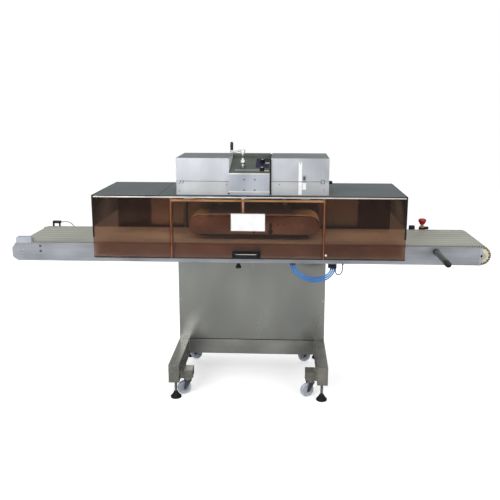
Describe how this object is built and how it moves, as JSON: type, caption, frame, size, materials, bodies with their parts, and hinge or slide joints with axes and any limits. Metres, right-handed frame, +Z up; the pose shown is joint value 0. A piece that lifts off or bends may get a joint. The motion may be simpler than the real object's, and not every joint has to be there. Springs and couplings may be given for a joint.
{
  "type": "continuous band sealer",
  "caption": "Castered stand carrying a long belt conveyor through a tinted guard tunnel, with a screw-lifted heated band head and a small control console on top.",
  "frame": {"origin": "on the floor, under the middle of the overall footprint", "axes": "+X along the conveyor in the direction of travel, +Y from the operator's side to the back, +Z up"},
  "size_m": [2.708, 0.95, 1.4633],
  "materials": {
    "stainless": "brushed",
    "dark_steel": "satin",
    "aluminium": "satin",
    "console_grey": "satin",
    "belting": "ribbed",
    "sealing_belt": "smooth",
    "tinted_guard": "polished",
    "black_plastic": "moulded",
    "cream_plastic": "moulded",
    "wheel": "moulded",
    "red_plastic": "polished",
    "blue_hose": "extruded",
    "grey_cable": "extruded",
    "brass": "machined"
  },
  "bodies": {
    "frame": {"left_leg": "stainless", "right_leg": "stainless", "base_crossframe": "stainless", "cabinet_shell": "stainless", "cabinet_front_panel": "stainless", "conveyor_front_plate": "stainless", "conveyor_rear_plate": "stainless", "slider_bed": "stainless", "handling_bar": "stainless", "back_plate": "stainless", "guide_columns": "stainless", "gearmotor": "dark_steel", "tunnel_top": "dark_steel", "estop_base": "dark_steel", "housing_base": "aluminium", "console_housing": "console_grey", "conveyor_belt": "belting", "left_guard_panel": "tinted_guard", "right_guard_panel": "tinted_guard", "rear_guard_panel": "tinted_guard", "infeed_sensor": "black_plastic", "belt_end_cover": "cream_plastic", "air_hose_1": "blue_hose", "air_hose_2": "blue_hose", "air_hose_3": "blue_hose", "sensor_cable": "grey_cable", "loop_cable": "grey_cable"},
    "door": {"guard_door": "tinted_guard", "door_handle": "black_plastic"},
    "left_cover": {"left_box_cover": "aluminium"},
    "right_cover": {"right_box_cover": "aluminium"},
    "left_latch": {"left_latch": "stainless"},
    "right_latch": {"right_latch": "stainless"},
    "head": {"head_frame": "dark_steel", "sealing_band": "sealing_belt", "heater_bar": "brass", "cooling_bar": "aluminium"},
    "band_drive_roller": {"band_drive_roller": "dark_steel"},
    "band_idler_roller": {"band_idler_roller": "dark_steel"},
    "pressure_roller": {"pressure_roller": "black_plastic"},
    "crank": {"crank": "stainless"},
    "crank_grip": {"crank_grip": "black_plastic"},
    "upper_knob": {"upper_knob": "black_plastic"},
    "lower_knob": {"lower_knob": "black_plastic"},
    "estop_button": {"estop_button": "red_plastic"},
    "drive_shaft": {"drive_shaft": "cream_plastic"},
    "infeed_shaft": {"infeed_shaft": "cream_plastic"},
    "bed_knob": {"bed_knob": "black_plastic"},
    "front_left_caster": {"front_left_caster_fork": "dark_steel"},
    "front_left_wheel": {"front_left_caster_wheel": "wheel"},
    "front_left_foot": {"front_left_levelling_foot": "black_plastic"},
    "front_right_caster": {"front_right_caster_fork": "dark_steel"},
    "front_right_wheel": {"front_right_caster_wheel": "wheel"},
    "front_right_foot": {"front_right_levelling_foot": "black_plastic"},
    "rear_left_caster": {"rear_left_caster_fork": "dark_steel"},
    "rear_left_wheel": {"rear_left_caster_wheel": "wheel"},
    "rear_left_foot": {"rear_left_levelling_foot": "black_plastic"},
    "rear_right_caster": {"rear_right_caster_fork": "dark_steel"},
    "rear_right_wheel": {"rear_right_caster_wheel": "wheel"},
    "rear_right_foot": {"rear_right_levelling_foot": "black_plastic"}
  },
  "joints": [
    {"name": "door_hinge", "type": "hinge", "parent": "frame", "child": "door", "pos_m": [-0.003, -0.207, 1.1617], "axis": [-1, 0, 0], "range_deg": [0, 100]},
    {"name": "left_cover_hinge", "type": "hinge", "parent": "frame", "child": "left_cover", "pos_m": [-0.252, 0.176, 1.2533], "axis": [-1, 0, 0], "range_deg": [0, 85]},
    {"name": "right_cover_hinge", "type": "hinge", "parent": "frame", "child": "right_cover", "pos_m": [0.283, 0.176, 1.2533], "axis": [-1, 0, 0], "range_deg": [0, 85]},
    {"name": "left_latch_flip", "type": "hinge", "parent": "frame", "child": "left_latch", "pos_m": [-0.367, -0.1668, 1.24], "axis": [1, 0, 0], "range_deg": [0, 110]},
    {"name": "right_latch_flip", "type": "hinge", "parent": "frame", "child": "right_latch", "pos_m": [0.411, -0.1668, 1.24], "axis": [1, 0, 0], "range_deg": [0, 110]},
    {"name": "head_lift", "type": "slide", "parent": "frame", "child": "head", "axis": [0, 0, 1], "range_m": [0, 0.05]},
    {"name": "band_drive_spin", "type": "hinge", "parent": "head", "child": "band_drive_roller", "pos_m": [-0.292, 0.071, 0.9825], "axis": [0, 1, 0], "continuous": true},
    {"name": "band_idler_spin", "type": "hinge", "parent": "head", "child": "band_idler_roller", "pos_m": [0.349, 0.071, 0.9825], "axis": [0, 1, 0], "continuous": true},
    {"name": "pressure_roller_spin", "type": "hinge", "parent": "head", "child": "pressure_roller", "pos_m": [0.028, 0.071, 0.9458], "axis": [0, 1, 0], "continuous": true},
    {"name": "crank_turn", "type": "hinge", "parent": "frame", "child": "crank", "pos_m": [-0.033, -0.084, 1.412], "axis": [0, 0, 1], "range_deg": [0, 1800]},
    {"name": "crank_grip_spin", "type": "hinge", "parent": "crank", "child": "crank_grip", "pos_m": [-0.095, -0.084, 1.44], "axis": [0, 0, 1], "continuous": true},
    {"name": "upper_knob_turn", "type": "hinge", "parent": "frame", "child": "upper_knob", "pos_m": [0.074, 0.011, 1.34], "axis": [0, -0.1961, 0.9806], "range_deg": [-150, 150]},
    {"name": "lower_knob_turn", "type": "hinge", "parent": "frame", "child": "lower_knob", "pos_m": [0.076, -0.139, 1.31], "axis": [0, -0.1961, 0.9806], "range_deg": [-150, 150]},
    {"name": "estop_press", "type": "slide", "parent": "frame", "child": "estop_button", "axis": [0, 0, -1], "range_m": [0, 0.006], "stiffness_N_per_m": 800, "springref_m": -0.004},
    {"name": "drive_spin", "type": "hinge", "parent": "frame", "child": "drive_shaft", "pos_m": [1.299, 0.081, 0.845], "axis": [0, 1, 0], "continuous": true},
    {"name": "infeed_spin", "type": "hinge", "parent": "frame", "child": "infeed_shaft", "pos_m": [-1.294, 0.081, 0.845], "axis": [0, 1, 0], "continuous": true},
    {"name": "bed_knob_turn", "type": "hinge", "parent": "frame", "child": "bed_knob", "pos_m": [-0.064, -0.029, 0.74], "axis": [0, 0, 1], "range_deg": [0, 360]},
    {"name": "front_left_swivel", "type": "hinge", "parent": "frame", "child": "front_left_caster", "pos_m": [-0.353, -0.189, 0.1], "axis": [0, 0, 1], "continuous": true},
    {"name": "front_left_roll", "type": "hinge", "parent": "front_left_caster", "child": "front_left_wheel", "pos_m": [-0.37367, -0.19652, 0.0425], "axis": [0.342, -0.9397, 0], "continuous": true},
    {"name": "front_right_swivel", "type": "hinge", "parent": "frame", "child": "front_right_caster", "pos_m": [0.365, -0.189, 0.1], "axis": [0, 0, 1], "continuous": true},
    {"name": "front_right_roll", "type": "hinge", "parent": "front_right_caster", "child": "front_right_wheel", "pos_m": [0.34506, -0.1983, 0.0425], "axis": [0.4226, -0.9063, 0], "continuous": true},
    {"name": "rear_left_swivel", "type": "hinge", "parent": "frame", "child": "rear_left_caster", "pos_m": [-0.353, 0.351, 0.1], "axis": [0, 0, 1], "continuous": true},
    {"name": "rear_left_roll", "type": "hinge", "parent": "rear_left_caster", "child": "rear_left_wheel", "pos_m": [-0.37425, 0.35669, 0.0425], "axis": [-0.2588, -0.9659, 0], "continuous": true},
    {"name": "rear_right_swivel", "type": "hinge", "parent": "frame", "child": "rear_right_caster", "pos_m": [0.365, 0.351, 0.1], "axis": [0, 0, 1], "continuous": true},
    {"name": "rear_right_roll", "type": "hinge", "parent": "rear_right_caster", "child": "rear_right_wheel", "pos_m": [0.34333, 0.34718, 0.0425], "axis": [0.1736, -0.9848, 0], "continuous": true},
    {"name": "front_left_foot_level", "type": "slide", "parent": "frame", "child": "front_left_foot", "axis": [0, 0, -1], "range_m": [-0.002, 0.02]},
    {"name": "front_right_foot_level", "type": "slide", "parent": "frame", "child": "front_right_foot", "axis": [0, 0, -1], "range_m": [-0.002, 0.02]},
    {"name": "rear_left_foot_level", "type": "slide", "parent": "frame", "child": "rear_left_foot", "axis": [0, 0, -1], "range_m": [-0.002, 0.02]},
    {"name": "rear_right_foot_level", "type": "slide", "parent": "frame", "child": "rear_right_foot", "axis": [0, 0, -1], "range_m": [-0.002, 0.02]}
  ],
  "couplings": [
    {"joint": "crank_turn", "follows": "head_lift", "rad_per_m": 628},
    {"joint": "infeed_spin", "follows": "drive_spin", "ratio": 1},
    {"joint": "band_idler_spin", "follows": "band_drive_spin", "ratio": 1},
    {"joint": "pressure_roller_spin", "follows": "band_drive_spin", "ratio": 2.835}
  ]
}
